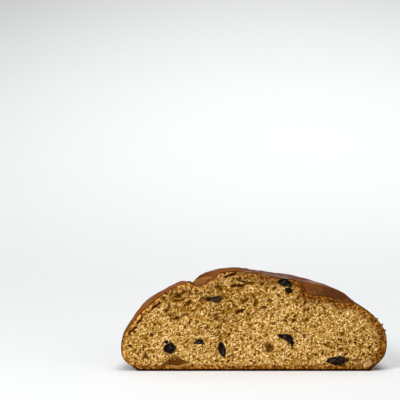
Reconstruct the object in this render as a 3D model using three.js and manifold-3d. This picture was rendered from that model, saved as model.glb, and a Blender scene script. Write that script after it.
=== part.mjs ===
// Half of a round Christmas fruit bread, lying on its own base with the cut face in front.
// Millimetres, +Z up. The bread is worked out with its cut face in the plane y = 0 and the
// domed crust going back towards +Y. At the end it is moved forward by half its depth, so
// that the origin is the middle of the space it takes up on the floor.

import * as THREE from 'three';
import { ConvexGeometry } from 'three/addons/geometries/ConvexGeometry.js';
import { mergeVertices } from 'three/addons/utils/BufferGeometryUtils.js';
import Module from 'manifold-3d';

const wasm = await Module();
wasm.setup();

// ---------------------------------------------------------------- driving dimensions

// Side profiles of the loaf, from the edge of the flat base up to the crown.
// Each entry is [distance from the middle, height].
const crownHeight = 81.8;
const leftProfile = [
  [94.7, 0], [108.1, 11], [108.3, 28], [98.5, 43], [83.5, 58], [64.5, 70.5], [43, 78.2], [20.5, 83],
];
const rightProfile = [
  [95.5, 0], [108.2, 13.5], [108.8, 31.5], [100, 44.8], [85, 56.5], [65, 68], [43, 74], [21, 77.9],
];
const backStretch = 1.02; // the round is a little deeper than half its width
const halfDepth = 55.65; // the cut face ends up this far in front of the origin

// The two slashes across the top: x where the slash meets the cut face, its angle to that
// face, how far it runs back at full depth and where it fades out.
const steepSlash = { x: -45, angle: 67, fullTo: 40, fadeTo: 78, depth: 6.2 };
const longSlash = { x: 62, angle: 30, fullTo: 18, fadeTo: 50, depth: 9.4 };

// Soft swellings of the dome behind the cut face: middle x and y, radius and height.
const swellings = [
  { x: -24, y: 27, radius: 21, height: 3.2 },
  { x: -88, y: 24, radius: 25, height: 2.8 },
  { x: 30, y: 62, radius: 30, height: 2.2 },
];
const unevenness = 1.1; // height of the slow waves all over the crust
const relieFrom = 7; // the relief starts above this height
const reliefTo = 26; // and is full above this one

// Fruit in the cut face: middle x and z, length and breadth as seen, turn of the length in
// degrees, depth into the bread and how far it stands out of the cut face. A pointed of 0 is
// an oval and of 1 a lens with sharp tips. A bend lets both ends droop, and corners makes the
// fruit blunt-edged.
const cutFruit = [
  {
    name: 'raisin_low_left', x: -69.4, z: 18.8, width: 9.6, height: 7.6, turn: 10,
    depth: 9, proud: 0.5, pointed: 0.1, bend: 0, corners: 0.09,
  },
  {
    name: 'raisin_small_left', x: -45.4, z: 24.1, width: 7.9, height: 3.2, turn: 8,
    depth: 6, proud: 0.2, pointed: 0.3, bend: 0.2, corners: 0.1,
  },
  {
    name: 'raisin_lens', x: -26.2, z: 17.9, width: 12.8, height: 5.6, turn: 102,
    depth: 8, proud: 0.4, pointed: 0.75, bend: -0.1, corners: 0,
  },
  {
    name: 'raisin_middle', x: 27.9, z: 26.6, width: 13.2, height: 4.8, turn: -38,
    depth: 10, proud: 0.9, pointed: 0.15, bend: 1.3, corners: 0.06,
  },
  {
    name: 'raisin_low_right', x: 69.4, z: 8.5, width: 18.6, height: 6.4, turn: 3,
    depth: 9, proud: 0.5, pointed: 0.55, bend: 0.15, corners: 0.03,
  },
  {
    name: 'raisin_under_crust', x: 25.6, z: 73.2, width: 10.8, height: 5, turn: -8,
    depth: 8, proud: 0.6, pointed: 0.2, bend: 0.3, corners: 0.08,
  },
  {
    name: 'raisin_small_top', x: 28.7, z: 67.1, width: 5.6, height: 3.8, turn: -15,
    depth: 5, proud: 0.3, pointed: 0.1, bend: 0, corners: 0.1,
  },
  {
    name: 'raisin_flat_top', x: -32.4, z: 60, width: 14.5, height: 3.5, turn: 0,
    depth: 7, proud: 0.3, pointed: 0.35, bend: -0.2, corners: 0.08,
  },
  {
    name: 'nut_low_right', x: 94.2, z: 5.8, width: 9, height: 5.4, turn: 32,
    depth: 7, proud: 0.3, pointed: 0.1, bend: 0, corners: 0.06,
  },
];
const middleBehindFace = 0.5; // the knife passed this far in front of the middle of the fruit

// Fruit that pokes out of the crust: plan place of its middle, width, height, turn
// and how far its middle is sunk below the crust.
const crustFruit = [
  { name: 'raisin_in_slash', x: -56, y: 24, width: 12, height: 9, turn: 35, sunk: 0.7 },
  { name: 'raisin_on_ridge', x: -6, y: 36, width: 11, height: 9.5, turn: 70, sunk: 1.3 },
  { name: 'raisin_back_left', x: -46, y: 78, width: 12.5, height: 9, turn: 120, sunk: 0.9 },
  { name: 'raisin_right_flank', x: 78, y: 48, width: 12, height: 10, turn: 20, sunk: 0.2 },
  { name: 'raisin_back', x: 22, y: 88, width: 11, height: 8.5, turn: 160, sunk: 1.2 },
];

// The larger slits and pores of the crumb, in the same terms as the fruit.
const slits = [
  { x: 84.6, z: 8.8, width: 7.6, height: 3.2, turn: 4, depth: 7, pointed: 0.3 },
  { x: -19.2, z: 79.6, width: 10.3, height: 2.6, turn: 18, depth: 8, pointed: 0.6 },
  { x: -9.7, z: 74.4, width: 7, height: 2.2, turn: -6, depth: 7, pointed: 0.6 },
  { x: -13, z: 70.7, width: 12.4, height: 2.4, turn: 6, depth: 7, pointed: 0.6 },
  { x: -10.5, z: 50, width: 8.6, height: 2.8, turn: 25, depth: 8, pointed: 0.6 },
  { x: 8.9, z: 52.9, width: 5.4, height: 2.2, turn: -8, depth: 6, pointed: 0.5 },
  { x: 13.4, z: 58.7, width: 4.4, height: 3.4, turn: 0, depth: 7, pointed: 0.2 },
  { x: -38.6, z: 36, width: 5.4, height: 3.4, turn: 15, depth: 8, pointed: 0.3 },
  { x: -63.9, z: 44, width: 7, height: 3, turn: 28, depth: 6, pointed: 0.5 },
  { x: 42.1, z: 28.8, width: 3.2, height: 3.8, turn: 0, depth: 7, pointed: 0.1 },
];

// Prints of two large pieces of fruit that stayed in the other half, by their corners, their
// depth at the lowest corner and how much shallower they get for each mm upwards (a minus
// sign: deeper).
const fruitPrints = [
  {
    corners: [[-76.5, 4.6], [-62.5, 3], [-53.4, 6], [-57.5, 8.6], [-66, 13.8]],
    depth: 6.5,
    lean: 0.42,
  },
  {
    corners: [[7.2, 16.6], [11.4, 14.2], [16.4, 16.2], [17.6, 19.8], [13.6, 23], [9.6, 21.4]],
    depth: 3.6,
    lean: -0.25,
  },
];
const printSlope = 0.9; // the walls of a print come in by about this much towards its back

const fitGap = 0.35; // clearance between a fruit and the crumb round it
const profileRows = 64;
const crustColumns = 48;
const columnCrowding = 0.55; // columns stand closer near the cut face, where the slashes are
const fruitDetail = 2;
const slitDetail = 1;

// ---------------------------------------------------------------- small helpers

function smoothStep(from, to, value) {
  const t = Math.min(Math.max((value - from) / (to - from), 0), 1);
  return t * t * (3 - 2 * t);
}

function toSolid(geometry) {
  const bare = geometry.clone();
  bare.deleteAttribute('normal');
  bare.deleteAttribute('uv');
  const merged = mergeVertices(bare, 1e-5);
  return new wasm.Manifold(new wasm.Mesh({
    numProp: 3,
    vertProperties: new Float32Array(merged.attributes.position.array),
    triVerts: new Uint32Array(merged.index.array),
  }));
}

function toGeometry(solid) {
  const mesh = solid.getMesh();
  const geometry = new THREE.BufferGeometry();
  geometry.setAttribute('position', new THREE.BufferAttribute(new Float32Array(mesh.vertProperties), 3));
  geometry.setIndex(new THREE.BufferAttribute(new Uint32Array(mesh.triVerts), 1));
  geometry.computeVertexNormals();
  return geometry;
}

// ---------------------------------------------------------------- dome of the crust

// A smooth curve through the profile; the last point mirrors the one before the crown,
// so that the curve passes over the crown without a point.
function profileCurve(profile) {
  const mirrored = (leftProfile.at(-1)[0] + rightProfile.at(-1)[0]) / 2;
  const level = (leftProfile.at(-1)[1] + rightProfile.at(-1)[1]) / 2;
  const points = [...profile, [0, crownHeight], [-mirrored, level]];
  return new THREE.SplineCurve(points.map(([distance, height]) => new THREE.Vector2(distance, height)));
}

const backProfile = leftProfile.map(([distance, height], i) => [
  (distance + rightProfile[i][0]) / 2,
  (height + rightProfile[i][1]) / 2,
]);
const leftCurve = profileCurve(leftProfile);
const rightCurve = profileCurve(rightProfile);
const backCurve = profileCurve(backProfile);
const crownAt = leftProfile.length / (leftProfile.length + 1);

// Smooth dome before the relief. turn runs 0..1 from the right end round the back to the
// left end, rise runs 0..1 from the edge of the base to the crown.
function domePoint(turn, rise) {
  const angle = turn * Math.PI;
  const along = Math.cos(angle);
  const rightShare = along > 0 ? along * along : 0;
  const leftShare = along < 0 ? along * along : 0;
  const profile = new THREE.Vector2()
    .addScaledVector(rightCurve.getPoint(rise * crownAt), rightShare)
    .addScaledVector(leftCurve.getPoint(rise * crownAt), leftShare)
    .addScaledVector(backCurve.getPoint(rise * crownAt), 1 - rightShare - leftShare);
  return new THREE.Vector3(
    profile.x * along,
    profile.x * Math.sin(angle) * backStretch,
    profile.y,
  );
}

// Outward direction of the dome, from the points next to the one asked for.
function domeNormal(turn, rise) {
  const step = 0.004;
  const low = Math.min(rise, 1 - step);
  const side = Math.min(Math.max(turn, step), 1 - step);
  const alongTurn = domePoint(side + step, low).sub(domePoint(side - step, low));
  const alongRise = domePoint(turn, low + step).sub(domePoint(turn, Math.max(low - step, 0)));
  return rise === 1 ? new THREE.Vector3(0, 0, 1) : alongTurn.cross(alongRise).normalize();
}

// Distance across a slash (positive to its right) and along it from the cut face.
function slashPlace(slash, x, y, leansLeft) {
  const angle = THREE.MathUtils.degToRad(slash.angle);
  const side = leansLeft ? 1 : -1;
  return {
    across: (x - slash.x) * Math.sin(angle) + side * y * Math.cos(angle),
    along: y * Math.sin(angle) - side * (x - slash.x) * Math.cos(angle),
  };
}

function slashFade(slash, along) {
  return 1 - smoothStep(slash.fullTo, slash.fadeTo, along);
}

// The steep slash has a floor about 8 mm wide, a short left wall and a right wall in two steps.
function steepSlashDepth(x, y) {
  const { across, along } = slashPlace(steepSlash, x, y, true);
  const leftWall = smoothStep(-7.5, -3.5, across);
  const rightWall = 0.48 * smoothStep(3, 7, across) + 0.52 * smoothStep(11, 15.5, across);
  return steepSlash.depth * (leftWall - rightWall) * slashFade(steepSlash, along);
}

// The long slash is cut at a slant: a steep wall on its left, then a floor that rises
// slowly to the right, with a narrow crack in it.
function longSlashDepth(x, y) {
  const { across, along } = slashPlace(longSlash, x, y, false);
  const floorWidth = 20.5;
  const floorStart = -9;
  const share = Math.min(Math.max((across - floorStart) / floorWidth, 0), 1);
  const wall = smoothStep(floorStart - 2.8, floorStart + 1.4, across);
  const crack = 0.36 * Math.exp(-(((across - 6.3) / 1.9) ** 2));
  return longSlash.depth * wall * (1 - share ** 1.6 + crack) * slashFade(longSlash, along);
}

// Slow waves of the crust, none of them at the cut face.
function crustWaves({ x, y, z }) {
  const broad = Math.sin(x / 13 + 1.2) * Math.sin(y / 11 - 0.6) + Math.sin((x + y) / 17 + z / 9);
  const fine = Math.sin(x / 5.2 - y / 7.1) * Math.sin(z / 4.6 + y / 6.3 + 0.8);
  return unevenness * (0.55 * broad + 0.35 * fine) * smoothStep(0, 16, y);
}

function crustRelief(point) {
  let relief = crustWaves(point);
  for (const swelling of swellings) {
    const far = Math.hypot(point.x - swelling.x, point.y - swelling.y) / swelling.radius;
    relief += swelling.height * Math.exp(-far * far) * smoothStep(0, 10, point.y);
  }
  relief -= steepSlashDepth(point.x, point.y) + longSlashDepth(point.x, point.y);
  return relief * smoothStep(relieFrom, reliefTo, point.z);
}

function crustPoint(turn, rise) {
  const point = domePoint(turn, rise);
  const outward = domeNormal(turn, rise).multiplyScalar(crustRelief(point));
  const onCutFace = turn === 0 || turn === 1 || rise === 1;
  point.add(outward);
  if (onCutFace) point.y = 0;
  return point;
}

// ---------------------------------------------------------------- bread body

function columnTurn(column) {
  const even = column / crustColumns;
  const shift = (columnCrowding * Math.sin(2 * Math.PI * even)) / (2 * Math.PI);
  return column === crustColumns ? 1 : even - shift;
}

function breadSolid() {
  const rows = [];
  const positions = [];
  for (let row = 0; row < profileRows; row += 1) {
    const line = [];
    for (let column = 0; column <= crustColumns; column += 1) {
      const point = crustPoint(columnTurn(column), row / profileRows);
      line.push(positions.length / 3);
      positions.push(point.x, point.y, row === 0 ? 0 : point.z);
    }
    rows.push(line);
  }
  const crown = positions.length / 3;
  const top = crustPoint(0, 1);
  positions.push(top.x, top.y, top.z);

  const faces = [];
  for (let row = 0; row + 1 < profileRows; row += 1) {
    for (let column = 0; column < crustColumns; column += 1) {
      const [a, b] = [rows[row][column], rows[row][column + 1]];
      const [c, d] = [rows[row + 1][column + 1], rows[row + 1][column]];
      // Each quad is split along the slash on its own side of the loaf.
      if (column < crustColumns / 2) faces.push(a, b, d, b, c, d);
      else faces.push(a, b, c, a, c, d);
    }
  }
  const last = rows.at(-1);
  for (let column = 0; column < crustColumns; column += 1) {
    faces.push(last[column], last[column + 1], crown);
  }

  // The cut face runs up the right side, over the crown and down the left side.
  const cutEdge = [...rows.map((line) => line[0]), crown, ...rows.map((line) => line.at(-1)).reverse()];
  const cutOutline = cutEdge.map((i) => new THREE.Vector2(positions[3 * i], positions[3 * i + 2]));
  for (const [a, b, c] of THREE.ShapeUtils.triangulateShape(cutOutline, [])) {
    faces.push(cutEdge[a], cutEdge[b], cutEdge[c]);
  }

  // The flat base lies inside the first row.
  const baseOutline = rows[0].map((i) => new THREE.Vector2(positions[3 * i], positions[3 * i + 1]));
  for (const [a, b, c] of THREE.ShapeUtils.triangulateShape(baseOutline, [])) {
    faces.push(rows[0][a], rows[0][c], rows[0][b]);
  }

  const geometry = new THREE.BufferGeometry();
  geometry.setAttribute('position', new THREE.Float32BufferAttribute(positions, 3));
  geometry.setIndex(faces);
  return toSolid(geometry);
}

// ---------------------------------------------------------------- fruit, slits and prints

// A shrivelled lump: a ball pushed in and out by a few waves, narrowed towards the two ends of
// its length, bent, stretched to its size, turned in the plane of the cut face and moved to
// its place.
function lump(shape, y, grow, detail, seed) {
  const { x, z, width, height, turn, depth, pointed = 0, bend = 0, corners = 0 } = shape;
  const geometry = new THREE.IcosahedronGeometry(1, detail);
  const place = geometry.attributes.position;
  const point = new THREE.Vector3();
  for (let i = 0; i < place.count; i += 1) {
    point.fromBufferAttribute(place, i).normalize();
    const broad = Math.sin(2.6 * point.x + seed) * Math.sin(2.9 * point.z - 2 * seed + 1.3 * point.y);
    const fine = Math.sin(6.1 * point.z + 3 * seed + 4 * point.x) * Math.cos(5.3 * point.y - seed);
    const blunt = Math.hypot(point.x, point.z) * Math.cos(5 * Math.atan2(point.z, point.x) + seed);
    const narrow = Math.hypot(point.y, point.z) ** pointed;
    point.multiplyScalar(1 + 0.11 * broad + 0.05 * fine + corners * blunt);
    const droop = bend * (point.x ** 2 - 0.35);
    place.setXYZ(i, point.x, point.y * narrow, point.z * narrow - droop);
  }
  geometry.scale(width / 2 + grow, depth / 2 + grow, height / 2 + grow);
  geometry.rotateY(-THREE.MathUtils.degToRad(turn));
  geometry.translate(x, y, z);
  return toSolid(geometry);
}

// The space that a cornered piece of fruit left: its outline in front of the cut face, and a
// smaller one, leaning, at its back.
function printSpace({ corners, depth, lean }) {
  const lowest = Math.min(...corners.map(([, z]) => z));
  const middle = new THREE.Vector2();
  for (const [x, z] of corners) middle.add(new THREE.Vector2(x, z).divideScalar(corners.length));
  const points = corners.flatMap(([x, z]) => {
    const inward = middle.clone().sub(new THREE.Vector2(x, z)).setLength(printSlope);
    const back = depth - lean * (z - lowest);
    return [new THREE.Vector3(x, -1, z), new THREE.Vector3(x + inward.x, back, z + inward.y)];
  });
  return toSolid(new ConvexGeometry(points));
}

// What a knife along the cut face leaves of a fruit that stands a little proud.
function cutOff(solid, proud) {
  const side = 400;
  const blade = new THREE.BoxGeometry(side, side, side);
  blade.translate(0, -side / 2 - proud, 0);
  return solid.subtract(toSolid(blade));
}

// A raisin on the crust is turned so that its flat side lies along the dome.
function crustLump(fruit, grow, seed) {
  const turn = Math.atan2(fruit.y / backStretch, fruit.x) / Math.PI;
  let low = 0;
  let high = 1;
  for (let i = 0; i < 24; i += 1) {
    const middle = (low + high) / 2;
    const point = crustPoint(turn, middle);
    const near = Math.hypot(point.x, point.y) < Math.hypot(fruit.x, fruit.y);
    if (near) high = middle;
    else low = middle;
  }
  const outward = domeNormal(turn, low);
  const centre = crustPoint(turn, low).addScaledVector(outward, -fruit.sunk);
  const flat = new THREE.Matrix4()
    .makeTranslation(centre.x, centre.y, centre.z)
    .multiply(new THREE.Matrix4().makeRotationFromQuaternion(
      new THREE.Quaternion().setFromUnitVectors(new THREE.Vector3(0, -1, 0), outward),
    ));
  const shape = { x: 0, z: 0, width: fruit.width, height: fruit.height, turn: fruit.turn, depth: 7 };
  const solid = lump(shape, 0, grow, fruitDetail, seed);
  const geometry = toGeometry(solid);
  geometry.applyMatrix4(flat);
  return toSolid(geometry);
}

// ---------------------------------------------------------------- materials

const crumbFinish = { name: 'bread', color: 0xb9863f, roughness: 0.8, metalness: 0 };
const raisinFinish = { name: 'raisin', color: 0x1f1a1c, roughness: 0.35, metalness: 0 };
const nutFinish = { name: 'nut', color: 0xd9b778, roughness: 0.6, metalness: 0 };

function namedMesh(name, solid, finish) {
  const mesh = new THREE.Mesh(toGeometry(solid), new THREE.MeshStandardMaterial(finish));
  mesh.name = name;
  return mesh;
}

// ---------------------------------------------------------------- assembly

const loaf = new THREE.Group();
let bread = breadSolid();

cutFruit.forEach((fruit, i) => {
  const seed = 1 + 1.7 * i;
  bread = bread.subtract(lump(fruit, middleBehindFace, fitGap, fruitDetail, seed));
  const solid = cutOff(lump(fruit, middleBehindFace, 0, fruitDetail, seed), fruit.proud);
  loaf.add(namedMesh(fruit.name, solid, fruit.name.startsWith('nut') ? nutFinish : raisinFinish));
});

crustFruit.forEach((fruit, i) => {
  const seed = 20 + 1.3 * i;
  bread = bread.subtract(crustLump(fruit, fitGap, seed));
  loaf.add(namedMesh(fruit.name, crustLump(fruit, 0, seed), raisinFinish));
});

slits.forEach((slit, i) => {
  bread = bread.subtract(lump(slit, 0, 0, slitDetail, 40 + i));
});
for (const print of fruitPrints) bread = bread.subtract(printSpace(print));

loaf.add(namedMesh('bread', bread, crumbFinish));
loaf.position.y = -halfDepth;

export default loaf;
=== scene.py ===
import math

import bpy
import numpy as np
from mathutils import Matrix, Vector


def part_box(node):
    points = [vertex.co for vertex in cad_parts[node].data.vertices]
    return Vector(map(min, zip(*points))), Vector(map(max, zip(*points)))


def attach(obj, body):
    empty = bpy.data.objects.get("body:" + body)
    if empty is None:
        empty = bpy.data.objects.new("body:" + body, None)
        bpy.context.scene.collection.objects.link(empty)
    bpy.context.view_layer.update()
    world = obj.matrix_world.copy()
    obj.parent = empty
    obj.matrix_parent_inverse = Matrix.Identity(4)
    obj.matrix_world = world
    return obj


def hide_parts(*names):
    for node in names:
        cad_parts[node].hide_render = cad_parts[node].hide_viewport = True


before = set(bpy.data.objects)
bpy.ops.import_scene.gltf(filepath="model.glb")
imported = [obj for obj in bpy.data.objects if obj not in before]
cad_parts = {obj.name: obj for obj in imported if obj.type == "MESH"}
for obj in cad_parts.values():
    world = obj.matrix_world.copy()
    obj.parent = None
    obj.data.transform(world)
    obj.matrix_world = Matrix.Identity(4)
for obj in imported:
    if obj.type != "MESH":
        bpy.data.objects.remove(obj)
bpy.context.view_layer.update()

mm = 0.001
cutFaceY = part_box("bread")[0].y        # in metres; all places below are in mm, y counted from the cut face

loaf = {
    "crownHeight": 81.8,
    # distance from the middle and height, from the edge of the base up towards the crown
    "leftProfile": [
        (94.7, 0), (108.1, 11), (108.3, 28), (98.5, 43), (83.5, 58), (64.5, 70.5), (43, 78.2), (20.5, 83),
    ],
    "rightProfile": [
        (95.5, 0), (108.2, 13.5), (108.8, 31.5), (100, 44.8), (85, 56.5), (65, 68), (43, 74), (21, 77.9),
    ],
    "backStretch": 1.02,
    "slowWaves": 0.605,       # heights of the waves of the crust
    "quickWaves": 0.385,
    "wavesFrom": 16,          # full waves from this far behind the cut face, full swellings from the next
    "swellingsFrom": 10,
    "reliefFrom": 7,          # no relief below this height, all of it above the next
    "reliefTo": 26,
    "swellings": [            # middle x, middle y, radius, height
        (-24, 27, 21, 3.2),
        (-88, 24, 25, 2.8),
        (30, 62, 30, 2.2),
    ],
}
# A slash starts at x on the cut face, at an angle to it, keeps its full depth up to fullTo and ends at
# fadeTo. Walls and strips of torn dough are given by where they start and end across it.
steepSlash = {
    "x": -45, "angle": 67, "leansLeft": 1, "fullTo": 40, "fadeTo": 78, "depth": 6.2,
    "leftWall": (-7.5, -3.5), "lowWall": (3, 7), "highWall": (11, 15.5), "lowWallShare": 0.48,
    "stripStart": (-6.5, -5.5), "stripEnd": (10, 11), "border": (3.5, 7), "borderStrength": 1,
}
longSlash = {
    "x": 62, "angle": 30, "leansLeft": -1, "fullTo": 18, "fadeTo": 50, "depth": 9.4,
    "leftWall": (-11.8, -7.6), "floorStart": -9, "floorWidth": 20.5, "floorCurve": 1.6,
    "crackAt": 6.3, "crackWidth": 1.9, "crackDepth": 0.36,
    "stripStart": (-10, -9), "stripEnd": (8, 9), "border": (3, 7), "borderStrength": 0.6,
}
# how far the edges of the torn strips wander, and over what length
slashWander = {"height": 1.6, "size": 8}


def smoothStep(start, end, value):
    # 0 below start, 1 above end, a smooth cubic between them
    t = np.clip((value - start) / (end - start), 0, 1)
    return t * t * (3 - 2 * t)


def unit(vectors):
    return vectors / np.maximum(np.linalg.norm(vectors, axis=-1, keepdims=True), 1e-9)


def cellRandom(cell, seed):
    # a number 0..1 for each cell of a lattice, always the same for the same cell and seed
    primes = (374761393, 668265263, 2147483647)
    mixed = seed * 974634777 + sum(cell[..., k] * primes[k] for k in range(cell.shape[-1]))
    mixed = (mixed ^ (mixed >> 13)) * 1274126177
    return ((mixed ^ (mixed >> 16)) & 0xFFFF) / 65535


def latticeNoise(points, size, seed):
    # Value noise: a random number on each corner of a lattice of the given size, blended
    # smoothly between the corners round each point; from -1 to 1.
    place = points / size
    cell = np.floor(place).astype(np.int64)
    share = place - cell
    share = share * share * (3 - 2 * share)
    total = 0
    for corner in np.ndindex(*[2] * points.shape[-1]):
        weight = np.prod(np.where(np.array(corner) == 1, share, 1 - share), axis=-1)
        total = total + weight * (2 * cellRandom(cell + corner, seed) - 1)
    return total


def layeredNoise(points, size, layers, seed):
    # each layer is half as large and half as strong as the one before
    return sum(latticeNoise(points, size / 2**k, seed + k) / 2**k for k in range(layers))


def splinePoint(knots, place):
    # smooth cubic curve through the knots, place 0..1 with equal steps from knot to knot
    knots = np.asarray(knots, dtype=float)
    last = len(knots) - 1
    spot = np.clip(place, 0, 1) * last
    index = np.minimum(np.floor(spot).astype(int), last - 1)
    w = (spot - index)[..., None]
    before, here = knots[np.maximum(index - 1, 0)], knots[index]
    there, after = knots[index + 1], knots[np.minimum(index + 2, last)]
    return 0.5 * (
        2 * here
        + (there - before) * w
        + (2 * before - 5 * here + 4 * there - after) * w**2
        + (3 * here - before - 3 * there + after) * w**3
    )


def closedProfile(profile):
    # the profile, the crown, and a mirrored knot beyond it that rounds the crown
    left, right = loaf["leftProfile"][-1], loaf["rightProfile"][-1]
    beyond = (-(left[0] + right[0]) / 2, (left[1] + right[1]) / 2)
    return [*profile, (0, loaf["crownHeight"]), beyond]


leftKnots = closedProfile(loaf["leftProfile"])
rightKnots = closedProfile(loaf["rightProfile"])
backKnots = (np.array(leftKnots) + np.array(rightKnots)) / 2
crownAt = len(loaf["leftProfile"]) / (len(loaf["leftProfile"]) + 1)


def domePoint(turn, rise):
    # Smooth dome: the side profile swung half a turn round the middle. turn 0..1 goes from the
    # right end round the back to the left end, rise 0..1 from the base to the crown. The right,
    # back and left profiles share by the squared cosine and sine of the swing.
    angle = np.pi * turn
    along = np.cos(angle)
    rightShare = np.where(along > 0, along**2, 0)[..., None]
    leftShare = np.where(along < 0, along**2, 0)[..., None]
    place = rise * crownAt
    profile = (
        rightShare * splinePoint(rightKnots, place)
        + leftShare * splinePoint(leftKnots, place)
        + (1 - rightShare - leftShare) * splinePoint(backKnots, place)
    )
    distance, height = profile[..., 0], profile[..., 1]
    return np.stack([distance * along, distance * np.sin(angle) * loaf["backStretch"], height], axis=-1)


def domeNormal(turn, rise):
    # outward direction, from the cross product of the two directions along the dome
    step = 0.004
    low = np.minimum(rise, 1 - step)
    side = np.clip(turn, step, 1 - step)
    alongTurn = domePoint(side + step, low) - domePoint(side - step, low)
    alongRise = domePoint(turn, low + step) - domePoint(turn, np.maximum(low - step, 0))
    outward = unit(np.cross(alongTurn, alongRise))
    return np.where((rise == 1)[..., None], [0.0, 0.0, 1.0], outward)


def slashPlace(slash, points):
    # Distance across the slash, positive to its right, and how much of its full depth it has, which
    # fades with the distance along it from the cut face.
    angle = math.radians(slash["angle"])
    x, y = points[..., 0] - slash["x"], points[..., 1]
    across = x * math.sin(angle) + slash["leansLeft"] * y * math.cos(angle)
    along = y * math.sin(angle) - slash["leansLeft"] * x * math.cos(angle)
    return across, 1 - smoothStep(slash["fullTo"], slash["fadeTo"], along)


def tornStrip(slash, across, fade):
    # where the torn dough shows, as a share 0..1, and the same for its brighter border on the right
    shown = smoothStep(0, 0.25, fade)
    strip = smoothStep(*slash["stripStart"], across) * (1 - smoothStep(*slash["stripEnd"], across)) * shown
    return strip, strip * slash["borderStrength"] * smoothStep(*slash["border"], across)


def slashRelief(points):
    # Depth of both slashes, and their torn strips and borders, the edges of which wander a little.
    # The steep slash has a flat floor between a short left wall and a right wall in two steps;
    # the long one has a steep left wall and a floor that rises to the right with a crack in it.
    wander = slashWander["height"] * layeredNoise(points, slashWander["size"], 2, 45)
    slash = steepSlash
    across, fade = slashPlace(slash, points)
    lowWall = slash["lowWallShare"] * smoothStep(*slash["lowWall"], across)
    highWall = (1 - slash["lowWallShare"]) * smoothStep(*slash["highWall"], across)
    steepDepth = slash["depth"] * (smoothStep(*slash["leftWall"], across) - lowWall - highWall) * fade
    steepStrip, steepBorder = tornStrip(slash, across + wander, fade)

    slash = longSlash
    across, fade = slashPlace(slash, points)
    rise = np.clip((across - slash["floorStart"]) / slash["floorWidth"], 0, 1) ** slash["floorCurve"]
    crack = slash["crackDepth"] * np.exp(-(((across - slash["crackAt"]) / slash["crackWidth"]) ** 2))
    longDepth = slash["depth"] * smoothStep(*slash["leftWall"], across) * (1 - rise + crack) * fade
    longStrip, longBorder = tornStrip(slash, across + wander, fade)
    return steepDepth + longDepth, np.maximum(steepStrip, longStrip), np.maximum(steepBorder, longBorder)


def crustRelief(points):
    # slow and quick waves + swellings - slashes, none of it near the base
    x, y, z = points[..., 0], points[..., 1], points[..., 2]
    slow = np.sin(x / 13 + 1.2) * np.sin(y / 11 - 0.6) + np.sin((x + y) / 17 + z / 9)
    quick = np.sin(x / 5.2 - y / 7.1) * np.sin(z / 4.6 + y / 6.3 + 0.8)
    relief = (loaf["slowWaves"] * slow + loaf["quickWaves"] * quick) * smoothStep(0, loaf["wavesFrom"], y)
    for middleX, middleY, radius, height in loaf["swellings"]:
        far = np.hypot(x - middleX, y - middleY) / radius
        relief = relief + height * np.exp(-far * far) * smoothStep(0, loaf["swellingsFrom"], y)
    depth, strip, border = slashRelief(points)
    return (relief - depth) * smoothStep(loaf["reliefFrom"], loaf["reliefTo"], z), strip, border


# Fruit that the knife went through. pointed 0 is an oval and 1 a lens with sharp tips, bend lets
# both ends droop, corners makes it blunt-edged, and bits are crumbs of it: x, z, width, height.
cutFruit = [
    {"node": "raisin_low_left", "place": (-69.4, 18.8), "size": (9.6, 7.6), "turn": 10, "depth": 9,
     "proud": 0.5, "pointed": 0.1, "bend": 0, "corners": 0.09, "bits": [(-72.3, 24.2, 3.2, 2.6)]},
    {"node": "raisin_small_left", "place": (-45.4, 24.1), "size": (7.9, 3.2), "turn": 8, "depth": 6,
     "proud": 0.2, "pointed": 0.3, "bend": 0.2, "corners": 0.1, "bits": []},
    {"node": "raisin_lens", "place": (-26.2, 17.9), "size": (12.8, 5.6), "turn": 102, "depth": 8,
     "proud": 0.4, "pointed": 0.75, "bend": -0.1, "corners": 0, "bits": []},
    {"node": "raisin_middle", "place": (27.9, 26.6), "size": (13.2, 4.8), "turn": -38, "depth": 10,
     "proud": 0.9, "pointed": 0.15, "bend": 1.3, "corners": 0.06, "bits": [(21.8, 29.6, 3.4, 2.4)]},
    {"node": "raisin_low_right", "place": (69.4, 8.5), "size": (18.6, 6.4), "turn": 3, "depth": 9,
     "proud": 0.5, "pointed": 0.55, "bend": 0.15, "corners": 0.03, "bits": []},
    {"node": "raisin_under_crust", "place": (25.6, 73.2), "size": (10.8, 5.0), "turn": -8, "depth": 8,
     "proud": 0.6, "pointed": 0.2, "bend": 0.3, "corners": 0.08, "bits": []},
    {"node": "raisin_small_top", "place": (28.7, 67.1), "size": (5.6, 3.8), "turn": -15, "depth": 5,
     "proud": 0.3, "pointed": 0.1, "bend": 0, "corners": 0.1, "bits": []},
    {"node": "raisin_flat_top", "place": (-32.4, 60), "size": (14.5, 3.5), "turn": 0, "depth": 7,
     "proud": 0.3, "pointed": 0.35, "bend": -0.2, "corners": 0.08, "bits": []},
    {"node": "nut_low_right", "place": (94.2, 5.8), "size": (9, 5.4), "turn": 32, "depth": 7,
     "proud": 0.3, "pointed": 0.1, "bend": 0, "corners": 0.06, "bits": []},
]
# Fruit that stands out of the crust: its place seen from above, and how far its middle is sunk in.
crustFruit = [
    {"node": "raisin_in_slash", "place": (-56, 24), "size": (12, 9), "turn": 35, "sunk": 0.7},
    {"node": "raisin_on_ridge", "place": (-6, 36), "size": (11, 9.5), "turn": 70, "sunk": 1.3},
    {"node": "raisin_back_left", "place": (-46, 78), "size": (12.5, 9), "turn": 120, "sunk": 0.9},
    {"node": "raisin_right_flank", "place": (78, 48), "size": (12, 10), "turn": 20, "sunk": 0.2},
    {"node": "raisin_back", "place": (22, 88), "size": (11, 8.5), "turn": 160, "sunk": 1.2},
]
crustFruitDepth = 7
fruitSeeds = {"cut": (1, 1.7), "crust": (20, 1.3)}        # first one, and the step to the next
middleBehindFace = 0.5
bendMiddle = 0.35        # a bent fruit stays where it is at this squared distance from its middle
socketGap = 0.35


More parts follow.
